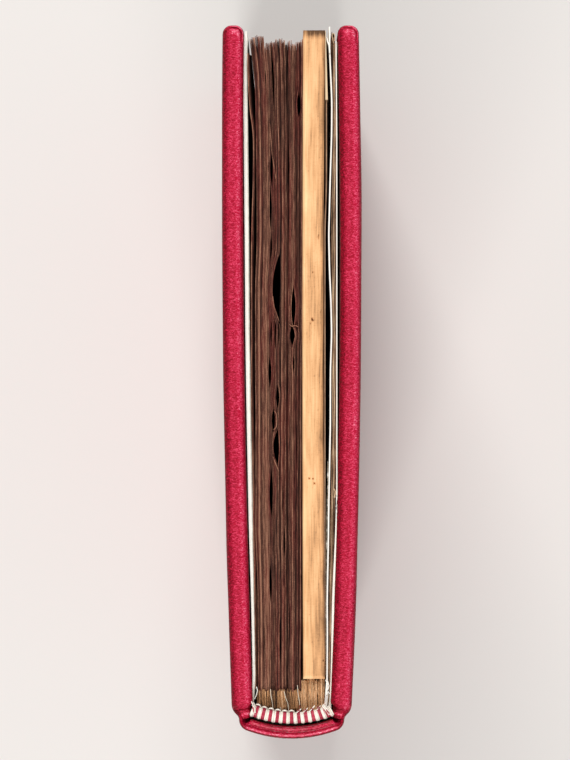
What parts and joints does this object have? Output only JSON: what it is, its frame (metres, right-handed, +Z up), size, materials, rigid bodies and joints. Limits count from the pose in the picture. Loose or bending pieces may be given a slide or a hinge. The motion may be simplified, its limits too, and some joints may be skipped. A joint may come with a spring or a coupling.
{
  "type": "antique leather-bound book",
  "caption": "Old book in a smooth red goatskin binding with a rounded spine, sewn headbands, brown cockled leaves and an old wooden board kept inside; both covers open.",
  "frame": {"origin": "under the middle of the book's box, on the surface that its tail edge stands on", "axes": "+Z up from tail to head, +Y from the spine to the fore edge, +X through the thickness towards the front cover"},
  "size_m": [0.0294, 0.15, 0.205],
  "materials": {
    "red_goatskin": "satin, fine grain",
    "aged_leaves": "matte, aged dark brown",
    "guard_paper": "matte",
    "old_wood": "matte, worn end grain",
    "old_rag_paper": "matte",
    "white_endpaper": "matte",
    "linen_tape": "matte weave",
    "spine_cloth": "matte open weave",
    "kraft_paper": "matte",
    "band_vellum": "matte",
    "white_silk": "soft sheen",
    "red_silk": "soft sheen",
    "mill_board": "matte"
  },
  "bodies": {
    "text_block": {"leaf_block": "aged_leaves", "leaf_guards": "guard_paper", "old_wooden_board": "old_wood", "old_pastedown": "old_rag_paper", "back_flyleaves": "white_endpaper", "front_flyleaf_inner": "white_endpaper", "front_old_flyleaves": "old_rag_paper", "front_flyleaf_outer": "white_endpaper", "sewing_tapes": "linen_tape", "spine_lining": "spine_cloth", "spine_hollow_tube": "kraft_paper", "spine_leather": "red_goatskin", "head_band_core": "band_vellum", "head_band_white_silk": "white_silk", "head_band_red_silk": "red_silk", "tail_band_core": "band_vellum", "tail_band_white_silk": "white_silk", "tail_band_red_silk": "red_silk"},
    "front_cover": {"front_board": "mill_board", "front_leather": "red_goatskin", "front_board_lining": "kraft_paper", "front_pastedown": "white_endpaper", "front_tape_slips": "linen_tape"},
    "back_cover": {"back_board": "mill_board", "back_leather": "red_goatskin", "back_board_lining": "kraft_paper", "back_pastedown": "white_endpaper", "back_tape_slips": "linen_tape"}
  },
  "joints": [
    {"name": "front_cover_hinge", "type": "hinge", "parent": "text_block", "child": "front_cover", "pos_m": [0.01226, -0.06934, 0.1025], "axis": [0, 0, -1], "range_deg": [0, 175]},
    {"name": "back_cover_hinge", "type": "hinge", "parent": "text_block", "child": "back_cover", "pos_m": [-0.01226, -0.06934, 0.1025], "axis": [0, 0, 1], "range_deg": [0, 175]}
  ]
}
